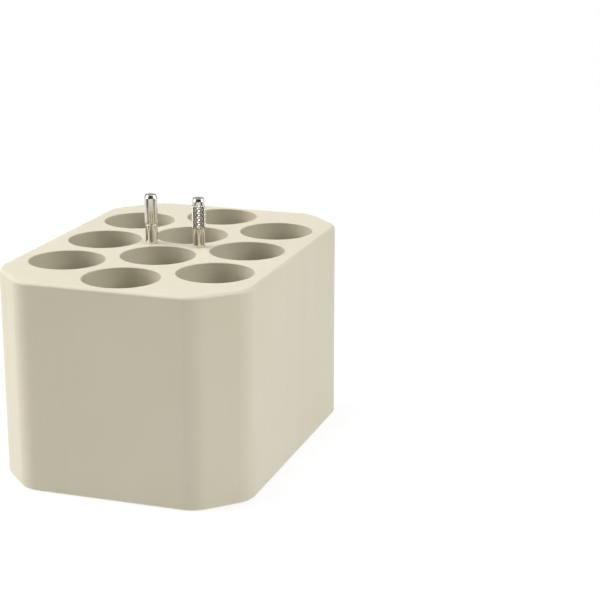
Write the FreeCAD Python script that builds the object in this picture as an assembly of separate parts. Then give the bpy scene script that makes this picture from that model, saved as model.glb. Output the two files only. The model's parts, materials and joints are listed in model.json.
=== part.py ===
import FreeCAD, Part
import math
import os

from FreeCAD import Vector

# Ten-place tube block with a plain and a knurled lifting pin, in millimetres.
# The origin is the centre of the base, +Z is up, X runs across the columns of bores and Y along them.

# Tube bores, in columns that are staggered by half a row
BORES_PER_COLUMN = (3, 4, 3)
BORE_DIAMETER = 30.5
BORE_WALL_LENGTH = 64.75
BORE_RIM_CHAMFER = 0.25
COLUMN_WEB = 5.4
DIAGONAL_WEB = 5.75

# Conical seat at the foot of each bore
SEAT_HEIGHT = 12.0
SEAT_FLAT_DIAMETER = 8.0

# Block around the bores
FLOOR_THICKNESS = 8.0
SIDE_WALL = 6.0
END_WALL = 2.6
CORNER_CHAMFER = 17.0
CORNER_RADIUS = 12.5
EDGE_CHAMFER = 1.0

# Both lifting pins: a shank that stands in a blind hole, and a chamfered tip
PIN_DIAMETER = 5.0
PIN_SEAT_DEPTH = 12.0
PIN_RISE = 20.4
PIN_TIP_DIAMETER = 4.5
PIN_TIP_HEIGHT = 1.3
PIN_FOOT_CHAMFER = 0.5

# Smooth, slightly thicker grip at the top of one pin, over a fine groove
GRIP_DIAMETER = 5.4
GRIP_LENGTH = 12.1
GROOVE_DEPTH = 0.1
GROOVE_HEIGHT = 0.4

# Diamond knurl on the other pin, below a plain nose
NOSE_LENGTH = 2.8
KNURL_LENGTH = 9.8
KNURL_DIAMETER = 5.7
KNURL_GROOVE_DEPTH = 0.42
KNURL_TEETH = 14
KNURL_HELIX_DEGREES = 34.0

# Fit of a pin in its blind hole
PIN_RADIAL_CLEARANCE = 0.03
PIN_END_GAP = 0.2

# Places and overall sizes that follow from the values above
bore_radius = BORE_DIAMETER / 2
row_pitch = BORE_DIAMETER + COLUMN_WEB
column_pitch = math.sqrt((BORE_DIAMETER + DIAGONAL_WEB) ** 2 - (row_pitch / 2) ** 2)
seat_foot = FLOOR_THICKNESS
wall_foot = seat_foot + SEAT_HEIGHT
rim_foot = wall_foot + BORE_WALL_LENGTH
block_height = rim_foot + BORE_RIM_CHAMFER
block_width = (len(BORES_PER_COLUMN) - 1) * column_pitch + BORE_DIAMETER + 2 * SIDE_WALL
block_length = (max(BORES_PER_COLUMN) - 1) * row_pitch + BORE_DIAMETER + 2 * END_WALL
pin_radius = PIN_DIAMETER / 2
pin_foot = block_height - PIN_SEAT_DEPTH
pin_top = block_height + PIN_RISE
grip_foot = pin_top - GRIP_LENGTH
nose_foot = pin_top - NOSE_LENGTH
knurl_foot = nose_foot - KNURL_LENGTH

UP = Vector(0, 0, 1)
FULL_TURN = 360


def turned(profile):
    """Solid of revolution about Z from (radius, z) points."""
    points = [Vector(radius, 0, z) for radius, z in profile]
    outline = Part.makePolygon(points + points[:1])
    return Part.Face(outline).revolve(Vector(0, 0, 0), UP, FULL_TURN)


def spread(count, pitch):
    """Evenly spaced places, centred on zero."""
    return [(index - (count - 1) / 2) * pitch for index in range(count)]


def bore_centres():
    columns = zip(spread(len(BORES_PER_COLUMN), column_pitch), BORES_PER_COLUMN)
    return [Vector(x, y, 0) for x, count in columns for y in spread(count, row_pitch)]


def pin_centres():
    """Each pin stands in the middle of the three bores on its side of the middle column."""
    offset = column_pitch / 3
    return Vector(-offset, 0, 0), Vector(offset, 0, 0)


def block_body():
    """Eight-sided prism with rounded upright edges and a small chamfer round its top and bottom."""
    x = block_width / 2
    y = block_length / 2
    cut = CORNER_CHAMFER
    quarter = [(x, y - cut), (x - cut, y)]
    outline = quarter + [(-a, b) for a, b in reversed(quarter)]
    outline += [(-a, -b) for a, b in outline]
    points = [Vector(a, b, 0) for a, b in outline]
    prism = Part.Face(Part.makePolygon(points + points[:1])).extrude(UP * block_height)
    upright = [edge for edge in prism.Edges if abs(edge.tangentAt(edge.FirstParameter).z) > 0.5]
    rounded = prism.makeFillet(CORNER_RADIUS, upright)
    level = [edge for edge in rounded.Edges if edge.BoundBox.ZLength < EDGE_CHAMFER / 2]
    return rounded.makeChamfer(EDGE_CHAMFER, level)


def tube_bore():
    """Cutter for one bore: flat, conical seat, straight wall and rim chamfer."""
    rim_radius = bore_radius + BORE_RIM_CHAMFER
    return turned([
        (0, seat_foot),
        (SEAT_FLAT_DIAMETER / 2, seat_foot),
        (bore_radius, wall_foot),
        (bore_radius, rim_foot),
        (rim_radius, block_height),
        (0, block_height),
    ])


def pin_hole():
    depth = PIN_SEAT_DEPTH + PIN_END_GAP
    return Part.makeCylinder(pin_radius + PIN_RADIAL_CLEARANCE, depth, Vector(0, 0, block_height - depth), UP)


def moved(shape, place):
    copy = shape.copy()
    copy.translate(place)
    return copy


def tube_block():
    bores = [moved(tube_bore(), centre) for centre in bore_centres()]
    holes = [moved(pin_hole(), centre) for centre in pin_centres()]
    return block_body().cut(bores + holes)


def shank_profile(top):
    """Axis, chamfered foot and straight side of a pin's shank, up to a height."""
    return [
        (0, pin_foot),
        (pin_radius - PIN_FOOT_CHAMFER, pin_foot),
        (pin_radius, pin_foot + PIN_FOOT_CHAMFER),
        (pin_radius, top),
    ]


def tip_profile(radius):
    """Chamfered tip of a pin, from its side to its axis."""
    return [
        (radius, pin_top - PIN_TIP_HEIGHT),
        (PIN_TIP_DIAMETER / 2, pin_top),
        (0, pin_top),
    ]


def plain_pin():
    """Pin with a smooth grip over a groove with sloped sides."""
    grip_radius = GRIP_DIAMETER / 2
    groove_radius = pin_radius - GROOVE_DEPTH
    neck_top = grip_foot - GROOVE_HEIGHT
    groove = [
        (groove_radius, neck_top + GROOVE_DEPTH),
        (groove_radius, grip_foot),
        (grip_radius, grip_foot + grip_radius - groove_radius),
    ]
    return turned(shank_profile(neck_top) + groove + tip_profile(grip_radius))


def knurled_pin():
    """Pin with a knurled grip between its neck and its plain nose."""
    shank = turned(shank_profile(knurl_foot) + [(0, knurl_foot)])
    nose = turned([(0, nose_foot), (pin_radius, nose_foot)] + tip_profile(pin_radius))
    return knurl(knurl_foot, nose_foot).fuse([shank, nose])


def knurl(foot, top):
    """Band of diamond points: every other place of a grid round the pin stands proud.

    The end rows lie at the groove's depth, so the points run out before the plain shank.
    """
    crest = KNURL_DIAMETER / 2
    groove = crest - KNURL_GROOVE_DEPTH
    columns = 2 * KNURL_TEETH
    half_width = math.pi * KNURL_DIAMETER / columns
    half_height = half_width / math.tan(math.radians(KNURL_HELIX_DEGREES))
    rows = max(2, round((top - foot) / half_height))

    def proud(column, row):
        return (column + row) % 2 == 0

    def place(column, row):
        inside = 0 < row < rows
        radius = crest if inside and proud(column, row) else groove
        angle = math.tau * (column % columns) / columns
        z = foot + (top - foot) * row / rows
        return Vector(radius * math.cos(angle), radius * math.sin(angle), z)

    def facet(*corners):
        points = [place(*corner) for corner in corners]
        return Part.Face(Part.makePolygon(points + points[:1]))

    def ring(row):
        return facet(*[(column, row) for column in range(columns)])

    faces = [ring(0), ring(rows)]
    for column in range(columns):
        for row in range(rows):
            here = (column, row)
            beside = (column + 1, row)
            above = (column, row + 1)
            across = (column + 1, row + 1)
            if proud(column, row):
                faces += [facet(here, beside, above), facet(beside, across, above)]
            else:
                faces += [facet(here, beside, across), facet(here, across, above)]
    shell = Part.makeShell(faces)
    shell.sewShape()
    solid = Part.makeSolid(shell)
    if solid.Volume < 0:
        solid.reverse()
    return solid


def main():
    os.makedirs("parts", exist_ok=True)
    left, right = pin_centres()
    nodes = {
        "tube_block": tube_block(),
        "plain_lifting_pin": moved(plain_pin(), left),
        "knurled_lifting_pin": moved(knurled_pin(), right),
    }
    for name, shape in nodes.items():
        shape.exportStep(f"parts/{name}.step")
        print(name, "solids", len(shape.Solids), "valid", shape.isValid(), "volume", round(shape.Volume, 2))
    print("block", block_width, block_length, block_height)


main()
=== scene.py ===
import json
import math

import bmesh
import bpy
from mathutils import Euler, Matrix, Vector


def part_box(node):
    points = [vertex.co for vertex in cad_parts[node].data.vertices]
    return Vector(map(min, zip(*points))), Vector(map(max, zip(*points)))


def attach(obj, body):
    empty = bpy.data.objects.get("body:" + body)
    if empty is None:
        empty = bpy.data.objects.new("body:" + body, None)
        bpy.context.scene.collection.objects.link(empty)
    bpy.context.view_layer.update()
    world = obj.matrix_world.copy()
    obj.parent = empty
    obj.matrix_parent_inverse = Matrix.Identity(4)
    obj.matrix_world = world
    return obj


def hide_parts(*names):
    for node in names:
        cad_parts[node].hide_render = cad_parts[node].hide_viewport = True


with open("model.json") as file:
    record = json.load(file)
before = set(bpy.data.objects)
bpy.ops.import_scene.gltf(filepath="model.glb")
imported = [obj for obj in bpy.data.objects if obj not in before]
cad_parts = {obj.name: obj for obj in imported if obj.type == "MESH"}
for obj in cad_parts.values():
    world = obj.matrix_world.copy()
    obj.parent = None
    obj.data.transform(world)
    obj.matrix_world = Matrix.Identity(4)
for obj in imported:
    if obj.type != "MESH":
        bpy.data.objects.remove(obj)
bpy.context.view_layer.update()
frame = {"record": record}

# The block's sizes, in metres, that the frame doesn't give
CORNER_CHAMFER = 0.017
CORNER_RADIUS = 0.0125
EDGE_CHAMFER = 0.001
EDGE_ROUNDING = 0.0012
RIM_CHAMFER = 0.00025
RIM_ROUNDING = 0.0002
SEAT_HEIGHT = 0.012
SEAT_FLAT_RADIUS = 0.004
SEAT_ROUNDING = 0.0015
PIN_HOLE_DEPTH = 0.0122
PIN_CLEARANCE = 0.00003

# The pins' sizes, in metres
PIN_RADIUS = 0.0025
PIN_TIP_RADIUS = 0.00225
PIN_TIP_HEIGHT = 0.0013
PIN_FOOT_CHAMFER = 0.0005
PIN_ROUNDING = 0.00012
GRIP_RADIUS = 0.0027
GRIP_LENGTH = 0.0121
GROOVE_DEPTH = 0.0001
GROOVE_HEIGHT = 0.0004
NOSE_LENGTH = 0.0028
KNURL_LENGTH = 0.0098
KNURL_RADIUS = 0.00285
KNURL_GROOVE_DEPTH = 0.00042
KNURL_TEETH = 14
KNURL_HELIX_DEGREES = 34
KNURL_FLAT_SHARE = 0.9
# Painted shade: the share of each knurl groove's depth, from its bottom, that is coloured dark
KNURL_PAINTED_SHADE_SHARE = 0.15
KNURL_RUN_OUT = 0.0004
KNURL_ROW_HEIGHT = 0.0001

# How finely the meshes are cut
ARC_STEPS = 14
ROUNDING_STEPS = 3
ROUNDING_REACH = 0.45
BORE_SEGMENTS = 112
PIN_HOLE_SEGMENTS = 48
PIN_SEGMENTS = 240
SHARP_EDGE_DEGREES = 35

# Colours
PLASTIC_LIGHT = (0.615, 0.575, 0.442)
PLASTIC_DARK = (0.575, 0.535, 0.405)
PLASTIC_MARK = (0.470, 0.432, 0.318)
STEEL_LIGHT = (0.79, 0.755, 0.69)
STEEL_DARK = (0.67, 0.64, 0.58)
# Painted shade: the dark colour laid in the bottoms of the knurl's grooves
KNURL_GROOVE_PAINTED_SHADE = (0.06, 0.055, 0.05)

# Grain of the finishes: bumps a metre, depths in metres, and how far each axis is drawn out
CLOUDS_PER_METRE = 14
GRAIN_PER_METRE = 2600
GRAIN_DEPTH = 0.000012
MILLED_MARKS = {"per_metre": 420, "stretch": (1, 1, 0.012), "depth": 0.00002, "share": 0.07}
BORED_MARKS = {"per_metre": 700, "stretch": (0.01, 0.01, 1), "depth": 0.00005, "share": 0.3}
TURNING_PER_METRE = 9000
TURNING_STRETCH = (0.02, 0.02, 1)
TURNING_DEPTH = 0.000004
SMUDGES_PER_METRE = 380
NOISE_MIDDLE = (0.3, 0.7)

# Gloss, as lowest and highest roughness
PLASTIC_ROUGHNESS = (0.40, 0.52)
PLASTIC_SPECULAR = 0.45
STEEL_ROUGHNESS = (0.12, 0.22)

# Places of the materials on their pieces
OUTSIDE = 0
BORED = 1
TURNED = 0
KNURLED = 1

# The camera, fitted to the photograph's 600 by 600 frame
CAMERA_PLACE = (0.2592, -0.6161, 0.2528)
CAMERA_PAN_DEGREES = 18.417
CAMERA_TILT_DEGREES = 16.029
LENS_MM = 100.205
SENSOR_MM = 36

# The floor, whose edge is too bright to show against the white surroundings
FLOOR_RADIUS = 0.3
FLOOR_SEGMENTS = 96
FLOOR_COLOUR = (0.2, 0.2, 0.199)
FLOOR_ROUGHNESS = 0.85
FLOOR_GLOW = 0.78

# Softboxes: name, azimuth from the front towards the right, height, both in degrees, size, watts and colour
SOFTBOX_DISTANCE = 1.5
SOFTBOXES = (
    ("left", -80, 35, 1.3, 28, (1, 1, 1)),
    ("right", 80, 35, 1.0, 13, (1, 1, 1)),
    ("overhead", 180, 86, 0.5, 11.3, (0.94, 0.97, 1.09)),
)

# Light of the surroundings below and above the horizon, to matt surfaces
LOW_LIGHT = (0.975, 0.945, 0.925)
HIGH_LIGHT = (0.08, 0.08, 0.08)
HORIZON_BLUR = 0.05

# Brightness of the same to glossy surfaces, by the cosine of the angle from the camera's side
LOW_BANDS = ((-1.0, 1.0), (0.06, 1.0), (0.2, 0.03), (0.66, 0.03), (0.8, 1.0))
HIGH_BANDS = ((-1.0, 0.4), (-0.3, 0.4), (-0.1, 2.8), (0.4, 2.8), (0.6, 0.04))

# Sizes that the frame gives
half_width, half_length, block_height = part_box("tube_block")[1]
bores = [mount for mount in frame["record"]["mounts"] if mount["kind"] == "bore"]
bore_radius = bores[0]["dims"]["r_mm"] / 1000
bore_wall_length = bores[0]["dims"]["length_mm"] / 1000


def rounded(profile, radius):
    """The open profile with its corners rounded by that radius, or less where a side is short."""
    points = [Vector(point) for point in profile]
    result = [points[0]]
    for before, corner, after in zip(points, points[1:], points[2:]):
        to_before = before - corner
        to_after = after - corner
        half_angle = to_before.angle(to_after) / 2
        shorter = min(to_before.length, to_after.length)
        reach = min(radius / math.tan(half_angle), ROUNDING_REACH * shorter)
        start = corner + to_before.normalized() * reach
        end = corner + to_after.normalized() * reach
        for step in range(ROUNDING_STEPS + 1):
            share = step / ROUNDING_STEPS
            result.append(start.lerp(corner, share).lerp(corner.lerp(end, share), share))
    result.append(points[-1])
    return result


def ring(centre, radii):
    """Points round a centre, one at each of the radii, evenly spaced in angle."""
    turn = math.tau / len(radii)
    return [
        centre + radius * Vector((math.cos(turn * index), math.sin(turn * index)))
        for index, radius in enumerate(radii)
    ]


def block_outline(inset):
    """The eight-sided outline with rounded corners, moved inwards by inset."""
    turn = math.pi / 4
    reach = CORNER_CHAMFER + CORNER_RADIUS * math.tan(turn / 2)
    centres = [
        Vector((half_width - CORNER_RADIUS, half_length - reach)),
        Vector((half_width - reach, half_length - CORNER_RADIUS)),
    ]
    mirrored = [(1, 1), (-1, 1), (-1, -1), (1, -1)]
    points = []
    for quarter, (sign_x, sign_y) in enumerate(mirrored):
        pair = centres if sign_x == sign_y else centres[::-1]
        for eighth, centre in enumerate(pair):
            placed = Vector((centre.x * sign_x, centre.y * sign_y))
            first = turn * (2 * quarter + eighth)
            for step in range(ARC_STEPS + 1):
                angle = first + turn * step / ARC_STEPS
                points.append(placed + (CORNER_RADIUS - inset) * Vector((math.cos(angle), math.sin(angle))))
    return points


def add_loop(mesh, points, z):
    return [mesh.verts.new((point.x, point.y, z)) for point in points]


def add_circles(mesh, centre, profile, segments):
    """One loop round the centre for each (radius, z) point of the profile."""
    return [add_loop(mesh, ring(centre, [radius] * segments), z) for radius, z in profile]


def loop_edges(mesh, loop):
    pairs = zip(loop, loop[1:] + loop[:1])
    return [mesh.edges.get(pair) or mesh.edges.new(pair) for pair in pairs]


def skin(mesh, loops, material):
    """Quads between each loop and the next."""
    for lower, upper in zip(loops, loops[1:]):
        count = len(lower)
        for index in range(count):
            following = (index + 1) % count
            face = mesh.faces.new((lower[index], lower[following], upper[following], upper[index]))
            face.material_index = material


def finished_object(mesh, name, materials):
    """The mesh as a smooth object, with its flat faces kept flat and its sharp edges sharp."""
    bmesh.ops.recalc_face_normals(mesh, faces=mesh.faces)
    data = bpy.data.meshes.new(name)
    mesh.to_mesh(data)
    mesh.free()
    for material in materials:
        data.materials.append(material)
    data.shade_smooth()
    data.set_sharp_from_angle(angle=math.radians(SHARP_EDGE_DEGREES))
    piece = bpy.data.objects.new(name, data)
    bpy.context.scene.collection.objects.link(piece)
    normals = piece.modifiers.new("flat_faces", "WEIGHTED_NORMAL")
    normals.weight = 100
    normals.keep_sharp = True
    return piece


def pin_centre(node):
    low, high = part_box(node)
    return ((low + high) / 2).to_2d()


def block_piece():
    """The whole block as one closed mesh, with softly rounded chamfers, bores, seats and pin holes."""
    mesh = bmesh.new()
    outside = rounded([
        (2 * EDGE_CHAMFER, 0),
        (EDGE_CHAMFER, 0),
        (0, EDGE_CHAMFER),
        (0, block_height - EDGE_CHAMFER),
        (EDGE_CHAMFER, block_height),
        (2 * EDGE_CHAMFER, block_height),
    ], EDGE_ROUNDING)
    loops = [add_loop(mesh, block_outline(inset), z) for inset, z in outside]
    skin(mesh, loops, OUTSIDE)
    mesh.faces.new(loops[0])
    top_edges = loop_edges(mesh, loops[-1])
    for bore in bores:
        top_edges += add_bore(mesh, Vector(bore["pos_m"][:2]))
    for node in ("plain_lifting_pin", "knurled_lifting_pin"):
        top_edges += add_pin_hole(mesh, pin_centre(node))
    bmesh.ops.triangle_fill(mesh, edges=top_edges, use_beauty=True, normal=(0, 0, 1))
    return finished_object(mesh, "machined_tube_block", [plastic_outside(), plastic_bored()])


def add_bore(mesh, centre):
    """One bore from its rim to the flat at its foot; returns the edges of its mouth."""
    rim_foot = block_height - RIM_CHAMFER
    wall_foot = rim_foot - bore_wall_length
    seat_foot = wall_foot - SEAT_HEIGHT
    mouth = rounded([
        (bore_radius + 1.5 * RIM_CHAMFER, block_height),
        (bore_radius + RIM_CHAMFER, block_height),
        (bore_radius, rim_foot),
        (bore_radius, rim_foot - RIM_CHAMFER),
    ], RIM_ROUNDING)
    foot = rounded([
        (bore_radius, wall_foot + SEAT_HEIGHT),
        (bore_radius, wall_foot),
        (SEAT_FLAT_RADIUS, seat_foot),
        (SEAT_FLAT_RADIUS / 2, seat_foot),
    ], SEAT_ROUNDING)
    return add_blind_hole(mesh, centre, mouth + foot, BORE_SEGMENTS)


def add_pin_hole(mesh, centre):
    radius = PIN_RADIUS + PIN_CLEARANCE
    profile = [(radius, block_height), (radius, block_height - PIN_HOLE_DEPTH)]
    return add_blind_hole(mesh, centre, profile, PIN_HOLE_SEGMENTS)


def add_blind_hole(mesh, centre, profile, segments):
    """A hole along a profile from its mouth to its closed end; returns the edges of its mouth."""
    loops = add_circles(mesh, centre, profile, segments)
    skin(mesh, loops, BORED)
    mesh.faces.new(loops[-1]).material_index = BORED
    return loop_edges(mesh, loops[0])


def shank_profile(foot, top):
    """(radius, z) points of a pin's shank, from its end face up to a height."""
    return [
        (PIN_RADIUS - 2 * PIN_FOOT_CHAMFER, foot),
        (PIN_RADIUS - PIN_FOOT_CHAMFER, foot),
        (PIN_RADIUS, foot + PIN_FOOT_CHAMFER),
        (PIN_RADIUS, top),
    ]


def tip_profile(radius, top):
    """(radius, z) points of a pin's chamfered tip, from its side to its end face."""
    return [(radius, top - PIN_TIP_HEIGHT), (PIN_TIP_RADIUS, top), (PIN_TIP_RADIUS / 2, top)]


def plain_pin_piece():
    """The turned pin with a smooth grip over a fine groove and its neck."""
    low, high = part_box("plain_lifting_pin")
    grip_foot = high.z - GRIP_LENGTH
    neck_top = grip_foot - GROOVE_HEIGHT
    groove_radius = PIN_RADIUS - GROOVE_DEPTH
    groove = [
        (groove_radius, neck_top + GROOVE_DEPTH),
        (groove_radius, grip_foot),
        (GRIP_RADIUS, grip_foot + GRIP_RADIUS - groove_radius),
    ]
    profile = shank_profile(low.z, neck_top) + groove + tip_profile(GRIP_RADIUS, high.z)
    profile = rounded(profile, PIN_ROUNDING)
    mesh = bmesh.new()
    loops = add_circles(mesh, pin_centre("plain_lifting_pin"), profile, PIN_SEGMENTS)
    skin(mesh, loops, TURNED)
    mesh.faces.new(loops[0])
    mesh.faces.new(loops[-1])
    return finished_object(mesh, "turned_plain_pin", [turned_steel()])


def knurled_pin_piece():
    """The turned pin with a knurled grip between its neck and its plain nose."""
    low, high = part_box("knurled_lifting_pin")
    centre = pin_centre("knurled_lifting_pin")
    nose_foot = high.z - NOSE_LENGTH
    knurl_foot = nose_foot - KNURL_LENGTH
    shank_points = rounded(shank_profile(low.z, knurl_foot), PIN_ROUNDING)
    nose_points = rounded([(PIN_RADIUS, nose_foot)] + tip_profile(PIN_RADIUS, high.z), PIN_ROUNDING)
    mesh = bmesh.new()
    shank = add_circles(mesh, centre, shank_points, PIN_SEGMENTS)
    grip = add_knurl(mesh, centre, knurl_foot, nose_foot)
    nose = add_circles(mesh, centre, nose_points, PIN_SEGMENTS)
    skin(mesh, shank + grip[:1], TURNED)
    skin(mesh, grip, KNURLED)
    skin(mesh, grip[-1:] + nose, TURNED)
    mesh.faces.new(shank[0])
    mesh.faces.new(nose[-1])
    return finished_object(mesh, "turned_knurled_pin", [turned_steel(), knurled_steel(centre)])


def add_knurl(mesh, centre, foot, top):
    """Close loops up a knurled band."""
    length = top - foot
    rows = round(length / KNURL_ROW_HEIGHT)
    groove_radius = KNURL_RADIUS - KNURL_GROOVE_DEPTH
    shares = [index / PIN_SEGMENTS for index in range(PIN_SEGMENTS)]
    loops = []
    for row in range(rows + 1):
        along = length * row / rows
        heights = [knurl_height(share, along, length) for share in shares]
        radii = [groove_radius + KNURL_GROOVE_DEPTH * height for height in heights]
        loops.append(add_loop(mesh, ring(centre, radii), foot + along))
    return loops


def knurl_height(turn_share, along, length):
    """Height of the diamond pattern, 0 in the grooves and 1 on the flats, along a band of some length."""
    tooth_width = math.tau * KNURL_RADIUS / KNURL_TEETH
    diamond_length = tooth_width / math.tan(math.radians(KNURL_HELIX_DEGREES))
    across = turn_share * KNURL_TEETH
    up = along / diamond_length
    point = min(triangle_wave(across + up), triangle_wave(across - up))
    run_out = min(1, along / KNURL_RUN_OUT, (length - along) / KNURL_RUN_OUT)
    return min(point / KNURL_FLAT_SHARE, 1) * max(run_out, 0)


def triangle_wave(value):
    """0 at each whole number and 1 half way between."""
    return 1 - abs(2 * (value % 1) - 1)


class Nodes:
    """A short way to add and join the nodes of one material or world."""

    def __init__(self, owner):
        owner.use_nodes = True
        self.tree = owner.node_tree
        self.coordinates = self.add("ShaderNodeTexCoord").outputs

    def add(self, kind, **values):
        node = self.tree.nodes.new(kind)
        for name, value in values.items():
            setattr(node, name, value)
        return node

    def feed(self, socket, value):
        """Joins an output to a socket, or sets the socket to a constant."""
        if hasattr(value, "links"):
            self.tree.links.new(value, socket)
        else:
            socket.default_value = value

    def spread(self, value, start, end, low, high):
        """Maps the span from start to end onto low to high."""
        span = self.add("ShaderNodeMapRange")
        limits = {"From Min": start, "From Max": end, "To Min": low, "To Max": high}
        for name, limit in limits.items():
            span.inputs[name].default_value = limit
        self.feed(span.inputs["Value"], value)
        return span.outputs["Result"]


class Finish(Nodes):
    """The nodes of one material."""

    def __init__(self, name):
        self.material = bpy.data.materials.new(name)
        super().__init__(self.material)

    def set(self, name, value):
        self.feed(self.tree.nodes["Principled BSDF"].inputs[name], value)

    def noise(self, per_metre, detail, stretch=(1, 1, 1)):
        """Noise with about that many bumps a metre, drawn out along the axes with a small stretch."""
        mapping = self.add("ShaderNodeMapping")
        mapping.inputs["Scale"].default_value = stretch
        self.feed(mapping.inputs["Vector"], self.coordinates["Object"])
        noise = self.add("ShaderNodeTexNoise")
        noise.inputs["Scale"].default_value = per_metre
        noise.inputs["Detail"].default_value = detail
        self.feed(noise.inputs["Vector"], mapping.outputs["Vector"])
        return noise.outputs["Fac"]

    def vary(self, noise, low, high):
        """Maps the middle of a noise onto low to high."""
        return self.spread(noise, *NOISE_MIDDLE, low, high)

    def radius(self, axis):
        """Distance from an upright axis."""
        flat = self.add("ShaderNodeMapping")
        flat.inputs["Location"].default_value = (-axis.x, -axis.y, 0)
        flat.inputs["Scale"].default_value = (1, 1, 0)
        self.feed(flat.inputs["Vector"], self.coordinates["Object"])
        length = self.add("ShaderNodeVectorMath", operation="LENGTH")
        self.feed(length.inputs[0], flat.outputs["Vector"])
        return length.outputs["Value"]

    def mix(self, share, first, second):
        """A colour from first to second; each is an output or a constant colour."""
        mix = self.add("ShaderNodeMix", data_type="RGBA")
        first_socket, second_socket = [socket for socket in mix.inputs if socket.type == "RGBA"]
        self.feed(mix.inputs["Factor"], share)
        for socket, colour in ((first_socket, first), (second_socket, second)):
            self.feed(socket, (*colour, 1) if isinstance(colour, tuple) else colour)
        return next(socket for socket in mix.outputs if socket.type == "RGBA")

    def bump(self, height, depth, before=None):
        """The normal with bumps of a height, over any earlier bumps."""
        bump = self.add("ShaderNodeBump")
        bump.inputs["Strength"].default_value = 1.0
        bump.inputs["Distance"].default_value = depth
        self.feed(bump.inputs["Height"], height)
        if before is not None:
            self.feed(bump.inputs["Normal"], before)
        return bump.outputs["Normal"]


def plastic(name, tool_marks):
    """Beige satin plastic with soft clouding, fine grain and tool marks along one direction."""
    finish = Finish(name)
    clouds = finish.noise(CLOUDS_PER_METRE, detail=3)
    marks = finish.noise(tool_marks["per_metre"], detail=4, stretch=tool_marks["stretch"])
    grain = finish.noise(GRAIN_PER_METRE, detail=2)
    clouded = finish.mix(finish.vary(clouds, 0, 1), PLASTIC_DARK, PLASTIC_LIGHT)
    grained = finish.bump(grain, GRAIN_DEPTH)
    marked = finish.vary(marks, 0, tool_marks["share"])
    finish.set("Base Color", finish.mix(marked, clouded, PLASTIC_MARK))
    finish.set("Roughness", finish.vary(marks, *PLASTIC_ROUGHNESS))
    finish.set("Normal", finish.bump(marks, tool_marks["depth"], grained))
    finish.set("Specular IOR Level", PLASTIC_SPECULAR)
    return finish.material


def plastic_outside():
    """Milled outside: faint upright streaks."""
    return plastic("milled_plastic", MILLED_MARKS)


def plastic_bored():
    """Bored walls: faint level rings."""
    return plastic("bored_plastic", BORED_MARKS)


def steel(name):
    """Bright steel with fine turning marks round the pin, and the colour of its metal."""
    finish = Finish(name)
    rings = finish.noise(TURNING_PER_METRE, detail=2, stretch=TURNING_STRETCH)
    smudges = finish.noise(SMUDGES_PER_METRE, detail=3)
    finish.set("Metallic", 1.0)
    finish.set("Roughness", finish.vary(smudges, *STEEL_ROUGHNESS))
    finish.set("Normal", finish.bump(rings, TURNING_DEPTH))
    return finish, finish.mix(finish.vary(smudges, 0, 1), STEEL_DARK, STEEL_LIGHT)


def turned_steel():
    finish, metal = steel("turned_steel")
    finish.set("Base Color", metal)
    return finish.material


def knurled_steel(axis):
    """Steel with painted shade: dark colour in the bottoms of the knurl's grooves."""
    finish, metal = steel("knurled_steel")
    groove = KNURL_RADIUS - KNURL_GROOVE_DEPTH
    unshaded_from = groove + KNURL_PAINTED_SHADE_SHARE * KNURL_GROOVE_DEPTH
    unshaded = finish.spread(finish.radius(axis), groove, unshaded_from, 0, 1)
    # Painted shade: the groove bottoms take the dark colour and the flats the metal's colour
    finish.set("Base Color", finish.mix(unshaded, KNURL_GROOVE_PAINTED_SHADE, metal))
    return finish.material


def dress_object():
    pieces = (
        (block_piece(), "block", "tube_block", "block_plastic"),
        (plain_pin_piece(), "plain_pin", "plain_lifting_pin", "pin_steel"),
        (knurled_pin_piece(), "knurled_pin", "knurled_lifting_pin", "pin_steel"),
    )
    for piece, body, node, slot in pieces:
        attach(piece, body)
        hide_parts(node)


def place_camera():
    data = bpy.data.cameras.new("camera")
    data.lens = LENS_MM
    data.sensor_width = SENSOR_MM
    camera = bpy.data.objects.new("camera", data)
    camera.location = CAMERA_PLACE
    tilt = math.radians(90 - CAMERA_TILT_DEGREES)
    camera.rotation_euler = Euler((tilt, 0, math.radians(CAMERA_PAN_DEGREES)))
    bpy.context.scene.collection.objects.link(camera)
    bpy.context.scene.camera = camera


def lay_floor():
    """A round pale floor."""
    mesh = bmesh.new()
    mesh.faces.new(add_loop(mesh, ring(Vector((0, 0)), [FLOOR_RADIUS] * FLOOR_SEGMENTS), 0))
    data = bpy.data.meshes.new("floor")
    mesh.to_mesh(data)
    mesh.free()
    finish = Finish("pale_floor")
    finish.set("Base Color", (*FLOOR_COLOUR, 1))
    finish.set("Roughness", FLOOR_ROUGHNESS)
    finish.set("Emission Color", (1, 1, 1, 1))
    finish.set("Emission Strength", FLOOR_GLOW)
    data.materials.append(finish.material)
    floor = bpy.data.objects.new("floor", data)
    bpy.context.scene.collection.objects.link(floor)


def softbox(name, azimuth_degrees, height_degrees, size, watts, colour):
    """A square light that faces the block's middle and that only matt surfaces see."""
    azimuth = math.radians(azimuth_degrees)
    height = math.radians(height_degrees)
    towards = Vector((
        math.sin(azimuth) * math.cos(height),
        -math.cos(azimuth) * math.cos(height),
        math.sin(height),
    ))
    data = bpy.data.lights.new(name, "AREA")
    data.shape = "SQUARE"
    data.size = size
    data.energy = watts
    data.color = colour
    light = bpy.data.objects.new(name, data)
    light.location = SOFTBOX_DISTANCE * towards
    light.visible_camera = False
    light.visible_glossy = False
    aim = Vector((0, 0, block_height / 2)) - light.location
    light.rotation_euler = aim.to_track_quat("-Z", "Y").to_euler()
    bpy.context.scene.collection.objects.link(light)


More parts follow.
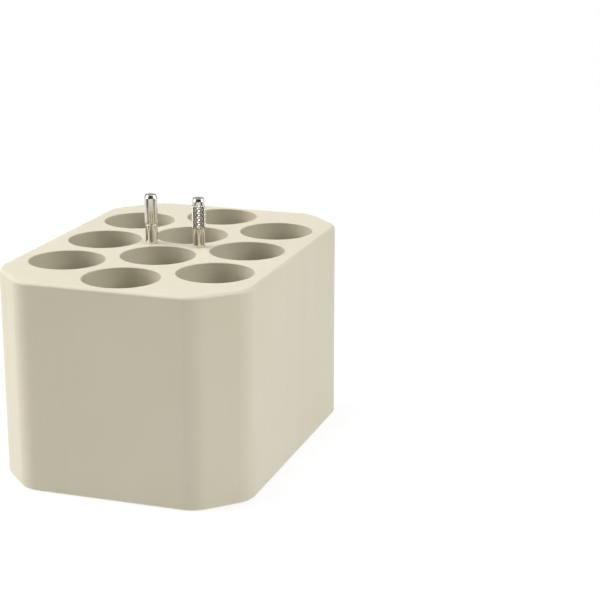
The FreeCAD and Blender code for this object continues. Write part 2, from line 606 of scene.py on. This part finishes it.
class Surroundings(Nodes):
    """The nodes of the world round the studio."""

    def __init__(self):
        world = bpy.data.worlds.new("studio")
        bpy.context.scene.world = world
        super().__init__(world)
        self.above = self.height()
        self.ahead = self.camera_side()

    def height(self):
        """0 below the horizon and 1 above it."""
        parts = self.add("ShaderNodeSeparateXYZ")
        self.feed(parts.inputs["Vector"], self.coordinates["Generated"])
        return self.spread(parts.outputs["Z"], -HORIZON_BLUR, HORIZON_BLUR, 0, 1)

    def camera_side(self):
        """0 away from the camera's side and 1 on it."""
        side = self.add("ShaderNodeVectorMath", operation="DOT_PRODUCT")
        side.inputs[1].default_value = Vector((*CAMERA_PLACE[:2], 0)).normalized()
        self.feed(side.inputs[0], self.coordinates["Generated"])
        return self.spread(side.outputs["Value"], -1, 1, 0, 1)

    def background(self, colour):
        """One background; its colour is an output or a constant."""
        node = self.add("ShaderNodeBackground")
        self.feed(node.inputs["Color"], (*colour, 1) if isinstance(colour, tuple) else colour)
        return node.outputs["Background"]

    def bands(self, stops):
        """Upright bands; the first stop is at the end away from the camera's side."""
        ramp = self.add("ShaderNodeValToRGB")
        elements = ramp.color_ramp.elements
        elements.remove(elements[-1])
        for index, (cosine, grey) in enumerate(stops):
            stop = elements.new((cosine + 1) / 2) if index else elements[0]
            stop.color = (grey, grey, grey, 1)
        self.feed(ramp.inputs["Fac"], self.ahead)
        return self.background(ramp.outputs["Color"])

    def choose(self, share, first, second):
        mix = self.add("ShaderNodeMixShader")
        for socket, value in zip(mix.inputs, (share, first, second)):
            self.feed(socket, value)
        return mix.outputs["Shader"]


def surround():
    """White to the camera, pale below and dim above to matt surfaces, and upright bands to glossy ones."""
    world = Surroundings()
    rays = world.add("ShaderNodeLightPath").outputs
    matt = world.choose(world.above, world.background(LOW_LIGHT), world.background(HIGH_LIGHT))
    glossy = world.choose(world.above, world.bands(LOW_BANDS), world.bands(HIGH_BANDS))
    unseen = world.choose(rays["Is Glossy Ray"], matt, glossy)
    whole = world.choose(rays["Is Camera Ray"], unseen, world.background((1, 1, 1)))
    world.feed(world.tree.nodes["World Output"].inputs["Surface"], whole)


def light_studio():
    surround()
    for row in SOFTBOXES:
        softbox(*row)
    bpy.context.scene.view_settings.view_transform = "Standard"


dress_object()
place_camera()
lay_floor()
light_studio()
